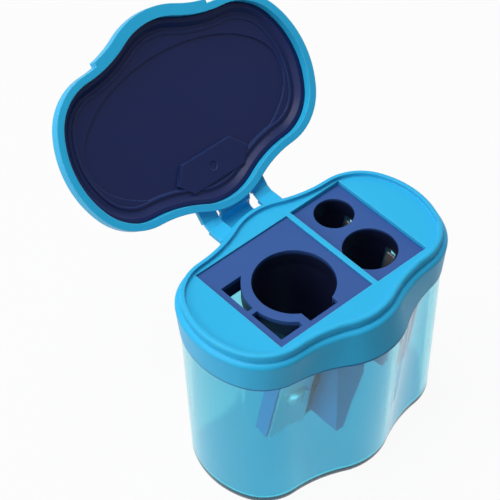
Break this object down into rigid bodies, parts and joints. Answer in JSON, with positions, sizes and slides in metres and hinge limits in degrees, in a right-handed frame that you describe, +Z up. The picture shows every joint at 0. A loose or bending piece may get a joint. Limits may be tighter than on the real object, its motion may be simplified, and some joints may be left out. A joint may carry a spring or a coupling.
{
  "type": "canister pencil sharpener",
  "caption": "Translucent blue canister pencil sharpener with a flip lid, a lift-off head and separate bores for standard pencils, jumbo pencils and thick crayons",
  "frame": {"origin": "centre of the tub's flat underside", "axes": "+X along the long side to the two small bores, +Y to the lid's hinge, +Z up; the lid stands open"},
  "size_m": [0.0602, 0.0726, 0.0793],
  "materials": {
    "tub_plastic": "clear blue tinted styrene, polished",
    "blue_plastic": "sky blue moulded plastic, satin gloss",
    "navy_plastic": "navy moulded plastic, satin gloss",
    "insert_plastic": "navy moulded plastic with a fine matt texture",
    "blade_steel": "ground carbon steel"
  },
  "bodies": {
    "container": {"tub": "tub_plastic"},
    "head": {"head_frame": "blue_plastic", "large_sharpener_body": "insert_plastic", "twin_sharpener_body": "insert_plastic", "large_blade": "blade_steel", "jumbo_blade": "blade_steel", "standard_blade": "blade_steel", "large_blade_screw": "blade_steel", "jumbo_blade_screw": "blade_steel", "standard_blade_screw": "blade_steel", "hinge_film_left": "blue_plastic", "hinge_film_right": "blue_plastic", "hinge_tongue": "blue_plastic"},
    "lid": {"lid_cover": "blue_plastic", "lid_liner": "navy_plastic"}
  },
  "joints": [
    {"name": "head_lift", "type": "slide", "parent": "container", "child": "head", "axis": [0, 0, 1], "range_m": [0, 0.045]},
    {"name": "lid_hinge", "type": "hinge", "parent": "head", "child": "lid", "pos_m": [0, 0.0215, 0.0466], "axis": [1, 0, 0], "range_deg": [0, 131], "deforming": ["hinge_film_left", "hinge_film_right", "hinge_tongue"]}
  ]
}
